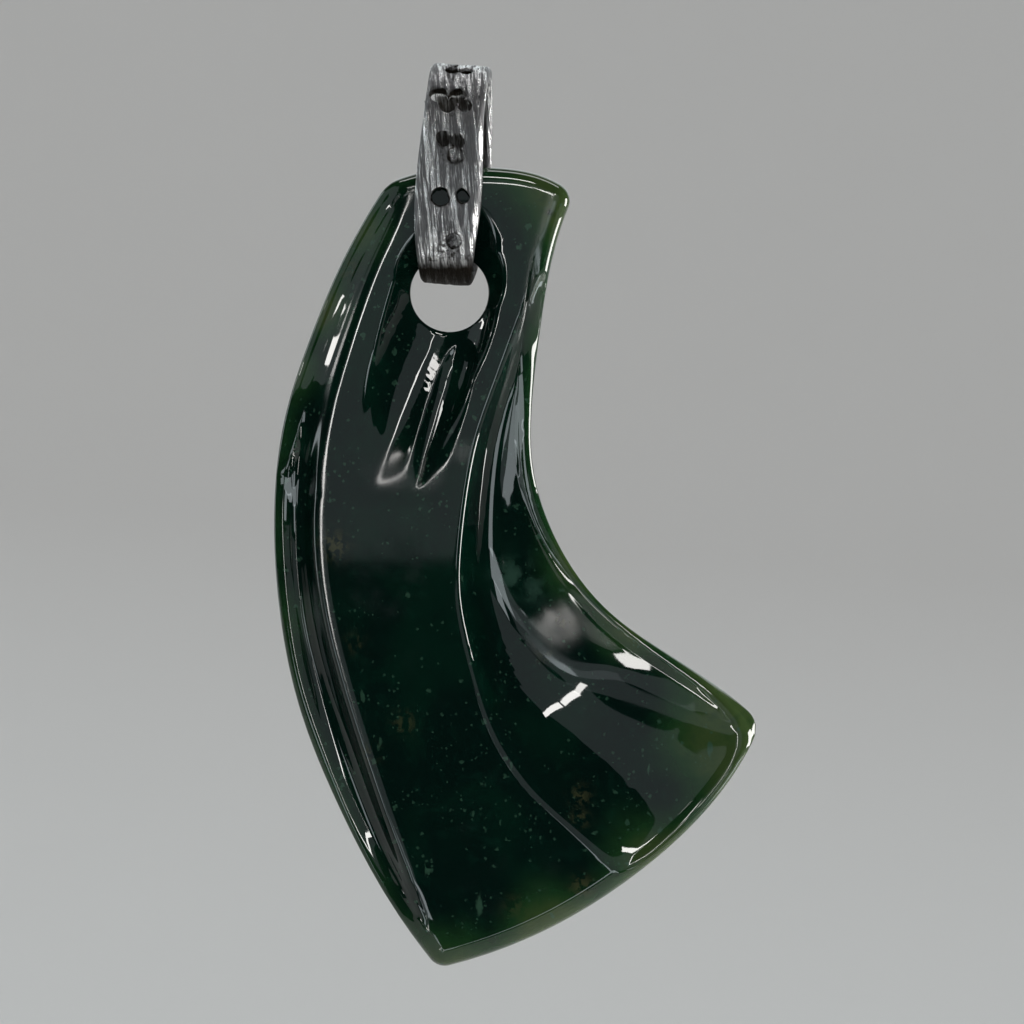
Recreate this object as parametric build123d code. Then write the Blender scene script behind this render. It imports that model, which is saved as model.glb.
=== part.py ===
from build123d import *
import math
import os

# A carved stone drop that hangs in a flat silver band bail. All lengths are in millimetres.
# The front faces -Y, +X is on the viewer's right and +Z is up.
# The origin is the inner top of the bail, where a chain bears.

# Bail
band_wall = 1.0
band_width = 5.0
band_foot_width = 3.8
loop_height = 14.7
chain_room_radius = 4.2
bail_lean = 4.1
bail_yaw = 4.0
band_outer_round = 0.4
band_inner_round = 0.2
pierced_radius = 0.66
blind_depth = 0.6

# Stone slab
drop_width = 36.0
drop_height = 60.0
slab_top = 4.8
slab_middle = 6.6
slab_foot = 5.2
front_lean = 1.5
edge_round = 1.1
top_right_round = 1.4
right_tip_round = 1.9
foot_tip_round = 1.4
top_left_round = 3.0

# Drilled hole, dished at the front and flared at the back so that the band can pass
hole_below_top = 9.5
hole_from_left = 13.3
dish_radius = 4.1
dish_depth = 2.7
dish_rise = 1.0
flare_depth = 1.8
flare_reach = 1.5

# Clearances between the stone and the band
side_room = 0.42
hole_room = 1.05
bearing_gap = 0.25
hole_shift = 0.18

# Carved hollows
hollow_depth = 2.9
cove_depth = 2.2
scoop_depth = 2.2
scoop_width = 7.6
lip_run = 0.7
cutter_head = 1.5
least_sink = 0.35

# Outline of the stone, as shares across the width from the left and down the height from the top.
# The sharp corners are rounded afterwards.
TOP_EDGE = [(0.240, 0.020), (0.330, 0.004), (0.442, 0.000), (0.550, 0.008), (0.632, 0.034)]
INNER_EDGE = [(0.632, 0.034), (0.595, 0.094), (0.559, 0.211), (0.543, 0.300), (0.547, 0.385),
              (0.576, 0.445), (0.699, 0.557), (0.850, 0.622), (1.026, 0.702)]
FOOT_EDGE = [(1.026, 0.702), (0.932, 0.795), (0.772, 0.887), (0.612, 0.950), (0.345, 1.010)]
OUTER_EDGE = [(0.345, 1.010), (0.230, 0.913), (0.129, 0.797), (0.056, 0.687), (0.014, 0.571),
              (0.000, 0.445), (0.022, 0.318), (0.075, 0.217), (0.146, 0.116), (0.240, 0.020)]

# Ribs of the inner hollow, from its upper end to where it fades out near the foot edge.
# crest across, crest down, rim across, rim down, floor and rim as shares of hollow_depth,
# and the run of the steep wall as a share of hollow_depth.
HOLLOW_RIBS = [
    (0.622, 0.070, 0.662, 0.066, 0.12, 0.12, 0.17),
    (0.560, 0.135, 0.600, 0.132, 0.20, 0.22, 0.17),
    (0.515, 0.192, 0.545, 0.190, 0.32, 0.38, 0.17),
    (0.469, 0.268, 0.540, 0.265, 0.44, 0.53, 0.22),
    (0.431, 0.333, 0.543, 0.333, 0.53, 0.63, 0.26),
    (0.404, 0.413, 0.558, 0.413, 0.63, 0.71, 0.32),
    (0.391, 0.495, 0.622, 0.495, 0.78, 0.75, 0.38),
    (0.397, 0.562, 0.748, 0.580, 0.88, 0.72, 0.45),
    (0.427, 0.640, 0.895, 0.645, 0.88, 0.65, 0.55),
    (0.467, 0.716, 0.996, 0.724, 0.74, 0.58, 0.66),
    (0.520, 0.773, 0.932, 0.798, 0.52, 0.45, 0.76),
    (0.583, 0.814, 0.830, 0.858, 0.28, 0.24, 0.80),
    (0.645, 0.846, 0.772, 0.888, 0.10, 0.08, 0.60),
    (0.700, 0.874, 0.738, 0.906, -0.06, -0.06, 0.40),
]

# Ribs of the bevel on the outer shoulder, with the same columns, in shares of cove_depth.
BEVEL_RIBS = [
    (0.296, 0.006, 0.237, -0.004, 0.08, 0.36, 0.12),
    (0.254, 0.067, 0.193, 0.063, 0.11, 0.52, 0.12),
    (0.216, 0.115, 0.146, 0.110, 0.14, 0.64, 0.12),
    (0.187, 0.158, 0.113, 0.154, 0.15, 0.72, 0.12),
    (0.161, 0.204, 0.083, 0.202, 0.16, 0.78, 0.12),
    (0.131, 0.259, 0.047, 0.253, 0.17, 0.83, 0.12),
    (0.108, 0.312, 0.024, 0.306, 0.19, 0.87, 0.12),
    (0.097, 0.362, 0.012, 0.362, 0.22, 0.90, 0.12),
    (0.094, 0.413, 0.001, 0.413, 0.24, 0.92, 0.12),
]

# Ribs of the cove that starts inside the bevel and runs down the outer side, likewise.
COVE_RIBS = [
    (0.123, 0.223, 0.098, 0.232, -0.08, -0.06, 0.10),
    (0.109, 0.259, 0.083, 0.271, 0.26, 0.30, 0.14),
    (0.099, 0.312, 0.052, 0.320, 0.58, 0.58, 0.20),
    (0.092, 0.362, 0.020, 0.366, 0.76, 0.86, 0.24),
    (0.088, 0.413, 0.001, 0.413, 0.84, 0.98, 0.26),
    (0.087, 0.470, 0.000, 0.470, 0.86, 1.00, 0.26),
    (0.106, 0.566, 0.013, 0.566, 0.84, 1.00, 0.26),
    (0.142, 0.652, 0.041, 0.657, 0.78, 0.96, 0.26),
    (0.191, 0.745, 0.094, 0.750, 0.68, 0.86, 0.26),
    (0.256, 0.855, 0.172, 0.864, 0.50, 0.68, 0.26),
    (0.305, 0.931, 0.258, 0.940, 0.24, 0.36, 0.24),
    (0.350, 0.995, 0.315, 1.010, -0.10, -0.05, 0.20),
]

# How each rib's lip turns at the rim: 1 rolls down over it and near 0 it runs on level. The cove's
# first ribs turn up, because they end on the bevel and not at the stone's side.
HOLLOW_LIPS = [0.3, 0.5, 0.8] + [1.0] * (len(HOLLOW_RIBS) - 6) + [0.7, 0.3, 0.1]
BEVEL_LIPS = [1.0] * len(BEVEL_RIBS)
COVE_LIPS = [-1.0, -1.0, -1.0, -0.4] + [1.0] * (len(COVE_RIBS) - 4)

# How far the middle of the floor follows its deeper end: fully in a hollow, not at all in a bevel.
HOLLOW_FLOOR = 1.0
BEVEL_FLOOR = 0.0

# Form of a rib. The wall's straight foot and a place on its bend are shares of the wall's run
# and of the floor's depth. The floor leads in and sags by shares of the rib's reach.
# The lip passes the rim at, and ends at, shares of lip_run beyond the rim and below it.
WALL_FOOT = (0.55, 0.62)
WALL_BEND = (0.72, 0.86)
FLOOR_LEAD = 0.08
FLOOR_SAG = 0.02
LIP_AT_RIM = (0.0, 0.4)
LIP_END = (0.7, 1.3)

# Scooped recess below the hole: a broad round-bottomed cut and a narrow one at its right.
# across and down of the cut's middle, width as a share of scoop_width, depth of scoop_depth.
BROAD_SCOOP = [
    (0.398, 0.030, 0.40, -0.25),
    (0.390, 0.085, 0.72, 0.60),
    (0.366, 0.150, 1.03, 1.00),
    (0.330, 0.225, 1.05, 0.86),
    (0.287, 0.290, 0.84, 0.54),
    (0.252, 0.345, 0.46, 0.24),
    (0.234, 0.372, 0.24, 0.07),
    (0.220, 0.398, 0.10, -0.15),
]
NARROW_SCOOP = [
    (0.385, 0.200, 0.42, 0.70),
    (0.374, 0.245, 0.50, 0.80),
    (0.350, 0.300, 0.42, 0.62),
    (0.325, 0.350, 0.28, 0.36),
    (0.306, 0.395, 0.12, 0.08),
    (0.298, 0.415, 0.08, -0.12),
]

# Pierced holes of the bail: share down the front from its top, share across from the left,
# radius as a share of pierced_radius. The blind one stops at blind_depth.
PIERCED = [
    (0.030, 0.40, 0.80), (0.030, 0.60, 0.80),
    (0.145, 0.24, 1.00), (0.145, 0.54, 1.05), (0.190, 0.40, 1.00), (0.190, 0.66, 0.85),
    (0.350, 0.38, 0.92), (0.355, 0.60, 0.84), (0.420, 0.58, 1.00),
    (0.612, 0.39, 1.10), (0.600, 0.73, 0.86),
]
BLIND = [(0.805, 0.63, 0.92)]

# Sides of the band seen from the front: share down the bail, width as a share of band_width.
# The foot takes band_foot_width.
BAND_SIDES = [(0.00, 0.91), (0.35, 0.95), (0.66, 1.00), (0.84, 0.90)]


def thickness(fall):
    """The slab's thickness at a distance below its top, crowned through three sizes."""
    share = 2 * fall / drop_height - 1
    rise = (slab_foot - slab_top) / 2
    return slab_middle + rise * share + ((slab_top + slab_foot) / 2 - slab_middle) * share ** 2


# Values that follow from the sizes above
lean_slope = math.tan(math.radians(front_lean))
front_top_y = -slab_top / 2
back_at_hole = front_top_y - hole_below_top * lean_slope + thickness(hole_below_top)
lower_radius = back_at_hole + side_room
hole_radius = band_foot_width / 2 + hole_room
pivot_z = lower_radius - loop_height
wall_lean = math.asin((chain_room_radius - lower_radius) / (-chain_room_radius - pivot_z))
bearing_y = back_at_hole - flare_depth
arc_rise = lower_radius - math.sqrt(lower_radius ** 2 - bearing_y ** 2)
arch_rise = math.sqrt(hole_radius ** 2 - (band_foot_width / 2 + hole_shift) ** 2)
hole_x = hole_shift - loop_height * math.sin(math.radians(bail_lean))
hole_z = -loop_height + arc_rise + bearing_gap - arch_rise
left_x = hole_x - hole_from_left
top_z = hole_z + hole_below_top


def front_y(z):
    """Y of the main face at height z: it leans forward towards the foot."""
    return front_top_y + (z - top_z) * lean_slope


def back_y(z):
    """Y of the crowned back at height z."""
    return front_y(z) + thickness(top_z - z)


def plan(across, down):
    """X and Z of a place given in shares of the stone's width and height."""
    return left_x + across * drop_width, top_z - down * drop_height


def corner_edge(solid, share):
    """The edge from front to back that is nearest to one corner of the outline."""
    x, z = plan(*share)
    upright = solid.edges().filter_by(Axis.Y)
    return min(upright, key=lambda edge: math.hypot(edge.center().X - x, edge.center().Z - z))


def stone_blank():
    """The slab cut to its outline, crowned at the back, with its corners and edges softened."""
    half_reach = slab_middle + slab_foot
    edges = []
    for row in (TOP_EDGE, INNER_EDGE, FOOT_EDGE, OUTER_EDGE):
        edges.append(Spline(*[Vector(x, -half_reach, z) for x, z in (plan(*share) for share in row)]))
    prism = extrude(Face(Wire(edges)), amount=2 * half_reach, dir=(0, 1, 0))
    over = 3 * edge_round
    upper_z = top_z + over
    middle_z = top_z - drop_height / 2
    lower_z = top_z - drop_height - over
    back = ThreePointArc((0, back_y(upper_z), upper_z), (0, back_y(middle_z), middle_z),
                         (0, back_y(lower_z), lower_z))
    front = Polyline((0, back_y(lower_z), lower_z), (0, front_y(lower_z), lower_z),
                     (0, front_y(upper_z), upper_z), (0, back_y(upper_z), upper_z))
    side = Face(Wire([back, *front.edges()]))
    slab = prism & (Pos(-drop_width, 0, 0) * extrude(side, amount=2 * drop_width, dir=(1, 0, 0)))
    corners = ((TOP_EDGE[0], top_left_round), (INNER_EDGE[0], top_right_round),
               (FOOT_EDGE[0], right_tip_round), (OUTER_EDGE[0], foot_tip_round))
    for share, radius in corners:
        slab = fillet(corner_edge(slab, share), radius)
    slab = fillet(slab.faces().sort_by(Axis.Y)[0].edges(), edge_round)
    return fillet(slab.faces().sort_by(Axis.Y)[-1].edges(), edge_round)


def rib(row, lip_turn, floor_follow, depth):
    """One closed section of a hollow's cutter, in an upright plane from crest to rim.

    From the crest a steep wall drops into a round, the floor sags, and the lip turns at the rim.
    """
    crest_across, crest_down, rim_across, rim_down, floor_share, rim_share, wall_share = row
    x0, z0 = plan(crest_across, crest_down)
    x1, z1 = plan(rim_across, rim_down)
    reach = math.hypot(x1 - x0, z1 - z0)
    floor, rim = floor_share * depth, rim_share * depth
    run = min(wall_share * depth, 0.4 * reach)
    lip = min(lip_run, 0.3 * reach)
    out = reach + 2 * edge_round
    foot = rim + LIP_END[1] * lip * lip_turn
    level = (floor + rim) / 2
    middle = level + floor_follow * (max(floor, rim) - level) + FLOOR_SAG * reach

    def at(along, down):
        share = along / reach
        x, z = x0 + (x1 - x0) * share, z0 + (z1 - z0) * share
        return Vector(x, front_y(z) + down, z)

    head = at(-WALL_FOOT[0] * run, -cutter_head)
    wall_foot = at(WALL_FOOT[0] * run, WALL_FOOT[1] * floor)
    wall_bend = at(WALL_BEND[0] * run, WALL_BEND[1] * floor)
    floor_start = at(run + FLOOR_LEAD * reach, floor)
    floor_middle = at((run + FLOOR_LEAD * reach + reach - lip) / 2, middle)
    lip_start = at(reach - lip, rim)
    lip_rim = at(reach + LIP_AT_RIM[0] * lip, rim + LIP_AT_RIM[1] * lip * lip_turn)
    lip_end = at(reach + LIP_END[0] * lip, foot)
    return Wire([
        Line(head, wall_foot),
        ThreePointArc(wall_foot, wall_bend, floor_start),
        ThreePointArc(floor_start, floor_middle, lip_start),
        ThreePointArc(lip_start, lip_rim, lip_end),
        Line(lip_end, at(out, foot)),
        Line(at(out, foot), at(out, -cutter_head)),
        Line(at(out, -cutter_head), head),
    ])


def hollow_cutter(ribs, lips, floor_follow, depth):
    """The body of a hollow, lofted through its ribs."""
    return Solid.make_loft([rib(row, turn, floor_follow, depth) for row, turn in zip(ribs, lips)])


def burr_cutter(rows):
    """A round-bottomed cut: balls of growing and shrinking size follow a path through the face."""
    sections = []
    places = [plan(across, down) for across, down, width, depth in rows]
    for i, (across, down, width_share, depth_share) in enumerate(rows):
        x, z = places[i]
        xa, za = places[max(i - 1, 0)]
        xb, zb = places[min(i + 1, len(rows) - 1)]
        half = width_share * scoop_width / 2
        depth = depth_share * scoop_depth
        sink = max(depth, least_sink)
        radius = (half ** 2 + sink ** 2) / (2 * sink)
        centre = Vector(x, front_y(z) + depth - radius, z)
        sections.append(Plane(origin=centre, z_dir=(xb - xa, 0, zb - za), x_dir=(0, 1, 0)) * Circle(radius))
    return loft([section.face() for section in sections])


def hole_cutter():
    """The drilled hole with its dish at the front and its flare at the back."""
    turn = Rotation(-90, 0, 0)
    bore = Pos(hole_x, 0, hole_z) * turn * Cylinder(hole_radius, 4 * slab_middle)
    wide = hole_radius + 2 * flare_reach
    flare = Pos(hole_x, back_y(hole_z), hole_z) * turn * Cone(hole_radius, wide, 2 * flare_depth)
    ball = (dish_radius ** 2 + dish_depth ** 2) / (2 * dish_depth)
    dish_z = hole_z + dish_rise
    dish = Pos(hole_x, front_y(dish_z) + dish_depth - ball, dish_z) * Sphere(ball)
    return bore + flare + dish


def make_stone():
    """The carved stone: the blank less its hollow, bevel, cove, scoops and hole."""
    stone = stone_blank()
    stone -= hollow_cutter(HOLLOW_RIBS, HOLLOW_LIPS, HOLLOW_FLOOR, hollow_depth)
    stone -= hollow_cutter(BEVEL_RIBS, BEVEL_LIPS, BEVEL_FLOOR, cove_depth)
    stone -= hollow_cutter(COVE_RIBS, COVE_LIPS, HOLLOW_FLOOR, cove_depth)
    stone -= burr_cutter(BROAD_SCOOP)
    stone -= burr_cutter(NARROW_SCOOP)
    stone -= hole_cutter()
    return stone


def loop_solid(grow):
    """The loop filled in: two rounds of unlike size and straight walls, grown by the band's wall."""
    lean_in, lean_down = math.cos(wall_lean), math.sin(wall_lean)
    upper, lower = chain_room_radius + grow, lower_radius + grow
    start = -band_width
    upper_z = -chain_room_radius
    front_top = (start, -upper * lean_in, upper_z - upper * lean_down)
    back_top = (start, upper * lean_in, upper_z - upper * lean_down)
    front_low = (start, -lower * lean_in, pivot_z - lower * lean_down)
    back_low = (start, lower * lean_in, pivot_z - lower * lean_down)
    outline = Face(Wire([
        ThreePointArc(front_top, (start, 0, upper_z + upper), back_top), Line(back_top, back_low),
        ThreePointArc(back_low, (start, 0, pivot_z - lower), front_low), Line(front_low, front_top),
    ]))
    return extrude(outline, amount=2 * band_width, dir=(1, 0, 0))


def band_front():
    """The band seen from the front, wide at mid height and narrow at the foot, drawn through."""
    height = loop_height + 2 * band_wall
    near = -2 * (chain_room_radius + band_wall)
    rows = [(down, share * band_width) for down, share in BAND_SIDES] + [(1.0, band_foot_width)]
    right = [Vector(width / 2, near, band_wall - down * height) for down, width in rows]
    left = [Vector(-point.X, near, point.Z) for point in reversed(right)]
    sides = [Spline(*right), Line(right[-1], left[0]), Spline(*left), Line(left[-1], right[0])]
    return extrude(Face(Wire(sides)), amount=-2 * near, dir=(0, 1, 0))


def front_of_loop(down):
    """Y and Z of the band's outer front surface at a share of its height, and its tilt in degrees."""
    radius = chain_room_radius + band_wall
    z = band_wall - down * (loop_height + 2 * band_wall)
    rise = z + chain_room_radius
    end_of_round = -radius * math.sin(wall_lean)
    if rise > end_of_round:
        tilt = math.asin(rise / radius)
        return -radius * math.cos(tilt), z, math.degrees(tilt)
    y = -radius * math.cos(wall_lean) + (end_of_round - rise) * math.tan(wall_lean)
    return y, z, -math.degrees(wall_lean)


def drill(down, across, size, depth):
    """One round cut into the band's front, square to its surface."""
    y, z, tilt = front_of_loop(down)
    x = (across - 0.5) * band_width
    axis = Vector(0, math.cos(math.radians(tilt)), -math.sin(math.radians(tilt)))
    surface = Vector(x, y, z)
    place = Plane(origin=surface + axis * (depth - band_wall), z_dir=axis)
    return place * Cylinder(size * pierced_radius, 2 * band_wall)


def make_bail():
    """The pierced band, leaned and turned as it hangs from the chain's seat."""
    shell = loop_solid(band_wall) & band_front()
    side_edges = [edge for face in shell.faces().filter_by(GeomType.EXTRUSION) for edge in face.edges()]
    band = fillet(side_edges, band_outer_round) - loop_solid(0)
    half_way = loop_solid(band_wall / 2).solid()
    inner = []
    for face in band.faces().filter_by(GeomType.EXTRUSION):
        inner += [edge for edge in face.edges() if half_way.is_inside(edge.position_at(0.5))]
    band = fillet(inner, band_inner_round)
    for down, across, size in PIERCED:
        band -= drill(down, across, size, 2 * band_wall)
    for down, across, size in BLIND:
        band -= drill(down, across, size, blind_depth)
    return Rotation(0, bail_lean, 0) * Rotation(0, 0, -bail_yaw) * band


os.makedirs("parts", exist_ok=True)
for name, solid in (("bail", make_bail()), ("jade_drop", make_stone())):
    export_step(solid, f"parts/{name}.step")
    print(name, "volume", round(solid.volume, 1), "valid", solid.is_valid)
print("pivot z", round(pivot_z, 3), "hole", round(hole_x, 3), round(hole_z, 3), "top", round(top_z, 3))
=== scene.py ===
# %% [markdown]
# # A carved stone drop on a pierced silver bail
#
# The object is a pendant: a thick drop of polished green stone, carved with long hollows,
# hung by a narrow loop of filed silver. This lesson dresses the CAD solids for a portrait.
# The solids hold every size. Here the stone gets a smooth surface mesh that is measured from its
# solid, and the silver gets its file marks. Everything is worked out in millimetres and
# turned into metres when a mesh is made.

# %% The frame
import bmesh
import bpy
import math
import numpy as np
from mathutils import Matrix, Quaternion, Vector
from mathutils.bvhtree import BVHTree


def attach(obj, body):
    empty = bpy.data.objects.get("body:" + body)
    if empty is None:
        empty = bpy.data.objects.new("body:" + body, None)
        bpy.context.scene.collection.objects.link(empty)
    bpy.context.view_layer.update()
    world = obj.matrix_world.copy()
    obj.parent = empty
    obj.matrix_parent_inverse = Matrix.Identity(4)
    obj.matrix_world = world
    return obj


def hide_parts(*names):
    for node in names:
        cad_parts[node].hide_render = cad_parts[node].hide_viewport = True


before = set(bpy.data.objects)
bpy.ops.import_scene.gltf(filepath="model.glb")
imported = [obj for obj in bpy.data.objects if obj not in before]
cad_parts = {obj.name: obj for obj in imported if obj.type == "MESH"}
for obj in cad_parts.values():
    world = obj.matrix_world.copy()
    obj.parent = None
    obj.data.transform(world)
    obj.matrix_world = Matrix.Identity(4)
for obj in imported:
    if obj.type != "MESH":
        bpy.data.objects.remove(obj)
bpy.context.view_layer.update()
mm = 0.001

# %% [markdown]
# ## From the photograph to the object
#
# A place in the photograph is a pixel. The camera looks level and straight at the front, so
# one scale turns pixels into millimetres across and down. The origin is the bail's inner top.

# %% Photograph scale
pixel_size = 0.075834
origin_pixel = (461.0, 78.0)
photo_side = 1024


def from_pixel(across, down):
    """X and Z in millimetres of a pixel of the photograph."""
    return (across - origin_pixel[0]) * pixel_size, (origin_pixel[1] - down) * pixel_size


middle_x, middle_z = from_pixel(photo_side / 2, photo_side / 2)
print("photo middle at", round(middle_x, 2), round(middle_z, 2), "mm, width", photo_side * pixel_size)

# %% [markdown]
# ## Camera
#
# Jewellery is photographed from far away with a long lens, so that near and far parts keep
# their proportions. The lens follows from the distance and the width that the frame shows.

# %% Camera
camera_distance = 1000.0
camera_data = bpy.data.cameras.new("portrait_camera")
camera_data.sensor_width = 36.0
camera_data.lens = camera_data.sensor_width * camera_distance / (photo_side * pixel_size)
camera_data.clip_start, camera_data.clip_end = 0.01, 20.0
camera = bpy.data.objects.new("portrait_camera", camera_data)
camera.location = Vector((middle_x, -camera_distance, middle_z)) * mm
camera.rotation_euler = (math.radians(90), 0, 0)
bpy.context.collection.objects.link(camera)
bpy.context.scene.camera = camera
print("lens", round(camera_data.lens, 1), "mm")

# %% [markdown]
# ## Floor and backdrop
#
# A pale sweep stands behind and below the pendant: a flat floor that bends up into a wall.
# One strip of faces along a profile makes it, and the bend hides the horizon.

# %% Helper that links a mesh
def link_mesh(name, points, faces, smooth=True):
    """A mesh object at the origin from points in metres."""
    mesh = bpy.data.meshes.new(name)
    mesh.from_pydata([tuple(point) for point in points], [], [tuple(face) for face in faces])
    mesh.polygons.foreach_set("use_smooth", [smooth] * len(mesh.polygons))
    mesh.update()
    thing = bpy.data.objects.new(name, mesh)
    bpy.context.collection.objects.link(thing)
    return thing


# %% Sweep
floor_z, floor_start, wall_y, wall_top, sweep_half_width = -0.14, -0.40, 1.30, 2.4, 2.2
bend_radius, bend_steps = 0.50, 24
profile = [(floor_start, floor_z)]
for step in range(bend_steps + 1):
    turn = math.radians(90) * step / bend_steps
    profile.append((wall_y - bend_radius + bend_radius * math.sin(turn),
                    floor_z + bend_radius - bend_radius * math.cos(turn)))
profile.append((wall_y, wall_top))
sweep_points = [(side * sweep_half_width, y, z) for y, z in profile for side in (-1, 1)]
sweep_faces = [(2 * i, 2 * i + 1, 2 * i + 3, 2 * i + 2) for i in range(len(profile) - 1)]
sweep = link_mesh("sweep", sweep_points, sweep_faces)
print("sweep", len(sweep_faces), "faces")

# %% [markdown]
# ## Light
#
# Polished stone shows what stands round it, so each softbox is a shape to be seen in the
# stone as much as a light. It is given as the stone sees it: a direction, a size in degrees
# and a brightness, where paper in good light is about 1. The rest of the room stays dim.

# %% Light helpers
stone_middle = Vector((0.004, -0.003, -0.037))
upper_hollow, low_hollow = Vector((0.004, -0.001, -0.027)), Vector((0.014, -0.001, -0.0443))


def area_light(name, size, power, location, towards, colour=(1, 1, 1), roll=0.0):
    """A rectangular light with a size in metres and a power in watts."""
    data = bpy.data.lights.new(name, "AREA")
    data.shape, data.size, data.size_y = "RECTANGLE", *size
    data.energy, data.color = power, colour
    lamp = bpy.data.objects.new(name, data)
    lamp.location = location
    lamp.rotation_mode = "QUATERNION"
    lamp.rotation_quaternion = towards.to_track_quat("-Z", "Y") @ Quaternion((0, 0, 1), math.radians(roll))
    lamp.visible_camera = False
    bpy.context.collection.objects.link(lamp)
    print(name, "size", round(size[0], 3), round(size[1], 3), "m, power", round(power, 2), "W")


def softbox(name, across, up, width, height, brightness, distance=1.0, colour=(1, 1, 1), roll=0.0,
            seen_from=stone_middle):
    """A rectangular light seen from the stone at degrees to the right of the camera and up."""
    a, e = math.radians(across), math.radians(up)
    way = Vector((math.sin(a) * math.cos(e), -math.cos(a) * math.cos(e), math.sin(e)))
    size = [2 * distance * math.tan(math.radians(degrees / 2)) for degrees in (width, height)]
    area_light(name, size, brightness * math.pi * size[0] * size[1], Vector(seen_from) + way * distance,
               -way, colour, roll)


# %% Softboxes
cool, warm = (0.86, 0.96, 1.0), (1.0, 0.98, 0.95)
softbox("front_card", 13, 15.4, 45, 25.0, 0.33, 1.3, cool)
softbox("hot_strip_foot", -7.0, 3.3, 6.4, 1.2, 14.0, 1.2, warm, roll=61)
softbox("hot_strip", -1.4, 11.0, 13, 1.7, 16.0, 1.2, warm, roll=50)
softbox("hot_strip_end", 13.5, 23.4, 22, 1.8, 16.0, 1.2, warm, roll=35)
softbox("blob_card", -15.7, -10.0, 1.8, 4.2, 14.0, 0.4, warm, seen_from=low_hollow)
softbox("pale_card", 7, -5.5, 30, 5, 2.8, 0.8, cool, seen_from=upper_hollow)
softbox("pale_low_card", 19, -10.5, 18, 5, 2.8, 0.42, cool, seen_from=upper_hollow)
softbox("pale_gap_card", -12, -5.5, 8, 5, 0.4, 0.8, cool, seen_from=upper_hollow)
softbox("pale_side_card", -26, -5.2, 20, 4.6, 2.6, 0.8, cool, roll=-4, seen_from=upper_hollow)
softbox("cove_card", 10, -0.6, 14, 4.8, 3.2, 0.8, cool, seen_from=(-0.013, -0.001, -0.032))
softbox("facet_card", -8.5, -0.9, 8, 7.9, 0.33, 1.0, cool)
softbox("needle_strip", -82.5, 19.9, 7, 1.9, 14.0, 1.0, warm)
softbox("bevel_card", -76, 22, 34, 14, 0.45, 1.0, cool)
softbox("scoop_strip", -9, 27, 13, 1.8, 13.0, 1.0, warm, roll=-23)
softbox("crest_card", 101, 1, 24, 26, 13.0, 0.3, warm)
softbox("top_strip", 5, 43, 14, 6, 14.0, 1.0, warm)
softbox("low_right_card", 78, -28, 16, 12, 5.0, 0.18, cool)
softbox("back_card", 172, 24, 50, 36, 0.6, 1.0, cool)
softbox("left_edge_card", -118, 5, 16, 50, 2.0, 0.9, cool)

# %% Light on the sweep
wall_light_place = Vector((0, 0.35, 1.7))
area_light("wall_light", (2.0, 0.6), 14.0, wall_light_place, Vector((0, wall_y, -0.1)) - wall_light_place)

# %% Room
world = bpy.data.worlds.new("dim_room")
world.use_nodes = True
background = world.node_tree.nodes["Background"]
background.inputs["Color"].default_value = (0.80, 0.88, 0.94, 1)
background.inputs["Strength"].default_value = 0.012
bpy.context.scene.world = world
bpy.context.scene.view_settings.view_transform = "Standard"
print("room strength", round(background.inputs["Strength"].default_value, 3))

# %% [markdown]
# ## Measuring the stone
#
# The stone's solid gives the true surface, but as loose triangles of very uneven size, which
# polish would show. So a merged copy of it is kept as a gauge: rays are sent at it, and a new
# mesh with even, ordered faces is laid through the points that they touch.

# %% Gauge
def merged_points(node):
    """Points in millimetres and triangles of a CAD node with its doubled points merged."""
    shape = bmesh.new()
    shape.from_mesh(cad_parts[node].data)
    bmesh.ops.remove_doubles(shape, verts=shape.verts, dist=1e-7)
    shape.verts.ensure_lookup_table()
    points = np.array([vert.co for vert in shape.verts]) / mm
    triangles = [[vert.index for vert in face.verts] for face in shape.faces]
    shape.free()
    return points, triangles


stone_points, stone_triangles = merged_points("jade_drop")
gauge = BVHTree.FromPolygons([tuple(point) for point in stone_points], stone_triangles)
reach_y = 30.0


def stone_at(x, z, side):
    """Y where a ray from the front (side -1) or the back (side 1) meets the stone, or None."""
    hit = gauge.ray_cast(Vector((x, side * reach_y, z)), Vector((0, -side, 0)))[0]
    return None if hit is None else hit.y


print("gauge", len(stone_points), "points", len(stone_triangles), "triangles")

# %% [markdown]
# ## Outline
#
# A plane through the side walls cuts the solid in two closed lines: the outline and the
# drilled hole. The plane leans a little, because the walls do not stand at one depth.

# %% Section lines
section_top, section_slope = 1.1, 1.3 / 60.0
stone_top = stone_points[:, 2].max()


def section_lines():
    """Closed lines where the leaning plane cuts the stone, longest first, as arrays of x, z."""
    shape = bmesh.new()
    verts = [shape.verts.new(point) for point in stone_points]
    for triangle in stone_triangles:
        shape.faces.new([verts[i] for i in triangle])
    normal = Vector((0, 1, -section_slope)).normalized()
    cut = bmesh.ops.bisect_plane(shape, geom=shape.verts[:] + shape.edges[:] + shape.faces[:],
                                 plane_co=(0, section_top, stone_top), plane_no=normal, dist=1e-6)
    cut_edges = {edge for edge in cut["geom_cut"] if isinstance(edge, bmesh.types.BMEdge)}
    lines = []
    while cut_edges:
        edge = cut_edges.pop()
        line = [edge.verts[0], edge.verts[1]]
        while True:
            onward = [e for e in line[-1].link_edges if e in cut_edges]
            if not onward:
                break
            cut_edges.remove(onward[0])
            line.append(onward[0].other_vert(line[-1]))
        lines.append(np.array([(v.co.x, v.co.z) for v in line]))
    shape.free()
    return sorted(lines, key=lambda line: -np.abs(np.diff(line, axis=0)).sum())


lines = section_lines()
outline_raw, hole_raw = lines[0], lines[1]
hole_middle = (hole_raw.min(axis=0) + hole_raw.max(axis=0)) / 2
hole_radius = float(np.hypot(*(hole_raw - hole_middle).T).mean())
print("lines", [len(line) for line in lines], "hole", hole_middle.round(3), round(hole_radius, 3))

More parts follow.
